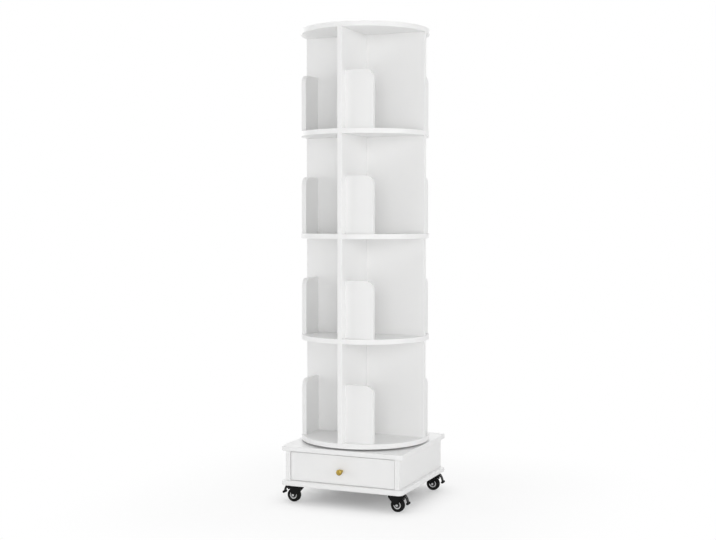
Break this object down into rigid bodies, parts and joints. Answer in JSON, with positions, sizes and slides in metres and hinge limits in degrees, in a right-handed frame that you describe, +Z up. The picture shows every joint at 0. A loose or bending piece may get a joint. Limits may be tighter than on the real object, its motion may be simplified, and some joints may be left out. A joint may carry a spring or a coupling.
{
  "type": "rotating media tower",
  "caption": "Tall round shelf tower with crossed dividers and book stops, turning on a ball bearing over a square drawer base with braked swivel casters.",
  "frame": {"origin": "on the tower's turning axis at the floor, under the middle of the square base", "axes": "+Z up along the turning axis; the drawer opens towards -Y; +X is to the right of someone who faces the drawer"},
  "size_m": [0.417, 0.4105, 1.4595],
  "materials": {
    "white_board": "white satin melamine",
    "thin_panel": "white lacquered hardboard",
    "runner_plastic": "moulded, matt",
    "bearing_aluminium": "extruded, satin",
    "ball_steel": "polished steel",
    "cage_nylon": "natural nylon",
    "zinc_steel": "bright zinc plate",
    "brass": "brushed brass",
    "black_steel": "black powder coat",
    "wheel_nylon": "grey nylon",
    "tyre_rubber": "black rubber"
  },
  "bodies": {
    "base": {"base_bottom_board": "white_board", "base_top_board": "white_board", "base_left_side": "white_board", "base_right_side": "white_board", "base_back_panel": "white_board", "drawer_runner_left": "runner_plastic", "drawer_runner_right": "runner_plastic", "bearing_lower_ring": "bearing_aluminium", "bearing_lower_screws": "zinc_steel", "caster_stems": "zinc_steel", "caster_nuts": "zinc_steel"},
    "ball_ring": {"ball_cage": "cage_nylon", "bearing_balls": "ball_steel"},
    "tower": {"bottom_disc": "white_board", "lower_shelf_disc": "white_board", "middle_shelf_disc": "white_board", "upper_shelf_disc": "white_board", "top_disc": "white_board", "lower_long_divider": "white_board", "lower_side_dividers": "white_board", "lower_book_stops": "white_board", "second_long_divider": "white_board", "second_side_dividers": "white_board", "second_book_stops": "white_board", "third_long_divider": "white_board", "third_side_dividers": "white_board", "third_book_stops": "white_board", "upper_long_divider": "white_board", "upper_side_dividers": "white_board", "upper_book_stops": "white_board", "bearing_upper_ring": "bearing_aluminium", "bearing_upper_screws": "zinc_steel"},
    "drawer": {"drawer_front": "white_board", "drawer_left_side": "white_board", "drawer_right_side": "white_board", "drawer_back": "white_board", "drawer_bottom": "thin_panel", "drawer_knob": "brass", "knob_screw": "zinc_steel"},
    "caster_front_left": {"caster_fork_front_left": "black_steel"},
    "wheel_front_left": {"caster_hub_front_left": "wheel_nylon", "caster_tyre_front_left": "tyre_rubber"},
    "brake_front_left": {"brake_pedal_front_left": "black_steel"},
    "caster_front_right": {"caster_fork_front_right": "black_steel"},
    "wheel_front_right": {"caster_hub_front_right": "wheel_nylon", "caster_tyre_front_right": "tyre_rubber"},
    "brake_front_right": {"brake_pedal_front_right": "black_steel"},
    "caster_back_left": {"caster_fork_back_left": "black_steel"},
    "wheel_back_left": {"caster_hub_back_left": "wheel_nylon", "caster_tyre_back_left": "tyre_rubber"},
    "brake_back_left": {"brake_pedal_back_left": "black_steel"},
    "caster_back_right": {"caster_fork_back_right": "black_steel"},
    "wheel_back_right": {"caster_hub_back_right": "wheel_nylon", "caster_tyre_back_right": "tyre_rubber"},
    "brake_back_right": {"brake_pedal_back_right": "black_steel"}
  },
  "joints": [
    {"name": "tower_spin", "type": "hinge", "parent": "base", "child": "tower", "pos_m": [0, 0, 0.1845], "axis": [0, 0, 1], "continuous": true},
    {"name": "ball_ring_spin", "type": "hinge", "parent": "base", "child": "ball_ring", "pos_m": [0, 0, 0.1815], "axis": [0, 0, 1], "continuous": true},
    {"name": "drawer_slide", "type": "slide", "parent": "base", "child": "drawer", "axis": [0, -1, 0], "range_m": [0, 0.26]},
    {"name": "swivel_front_left", "type": "hinge", "parent": "base", "child": "caster_front_left", "pos_m": [-0.158, -0.158, 0.0535], "axis": [0, 0, 1], "continuous": true},
    {"name": "roll_front_left", "type": "hinge", "parent": "caster_front_left", "child": "wheel_front_left", "pos_m": [-0.172, -0.158, 0.021], "axis": [0, -1, 0], "continuous": true},
    {"name": "brake_front_left", "type": "hinge", "parent": "caster_front_left", "child": "brake_front_left", "pos_m": [-0.187, -0.158, 0.044], "axis": [0, -1, 0], "range_deg": [0, 20]},
    {"name": "swivel_front_right", "type": "hinge", "parent": "base", "child": "caster_front_right", "pos_m": [0.158, -0.158, 0.0535], "axis": [0, 0, 1], "continuous": true},
    {"name": "roll_front_right", "type": "hinge", "parent": "caster_front_right", "child": "wheel_front_right", "pos_m": [0.172, -0.158, 0.021], "axis": [0, 1, 0], "continuous": true},
    {"name": "brake_front_right", "type": "hinge", "parent": "caster_front_right", "child": "brake_front_right", "pos_m": [0.187, -0.158, 0.044], "axis": [0, 1, 0], "range_deg": [0, 20]},
    {"name": "swivel_back_left", "type": "hinge", "parent": "base", "child": "caster_back_left", "pos_m": [-0.158, 0.158, 0.0535], "axis": [0, 0, 1], "continuous": true},
    {"name": "roll_back_left", "type": "hinge", "parent": "caster_back_left", "child": "wheel_back_left", "pos_m": [-0.172, 0.158, 0.021], "axis": [0, -1, 0], "continuous": true},
    {"name": "brake_back_left", "type": "hinge", "parent": "caster_back_left", "child": "brake_back_left", "pos_m": [-0.187, 0.158, 0.044], "axis": [0, -1, 0], "range_deg": [0, 20]},
    {"name": "swivel_back_right", "type": "hinge", "parent": "base", "child": "caster_back_right", "pos_m": [0.158, 0.158, 0.0535], "axis": [0, 0, 1], "continuous": true},
    {"name": "roll_back_right", "type": "hinge", "parent": "caster_back_right", "child": "wheel_back_right", "pos_m": [0.172, 0.158, 0.021], "axis": [0, 1, 0], "continuous": true},
    {"name": "brake_back_right", "type": "hinge", "parent": "caster_back_right", "child": "brake_back_right", "pos_m": [0.187, 0.158, 0.044], "axis": [0, 1, 0], "range_deg": [0, 20]}
  ],
  "couplings": [
    {"joint": "ball_ring_spin", "follows": "tower_spin", "ratio": 0.4941}
  ]
}
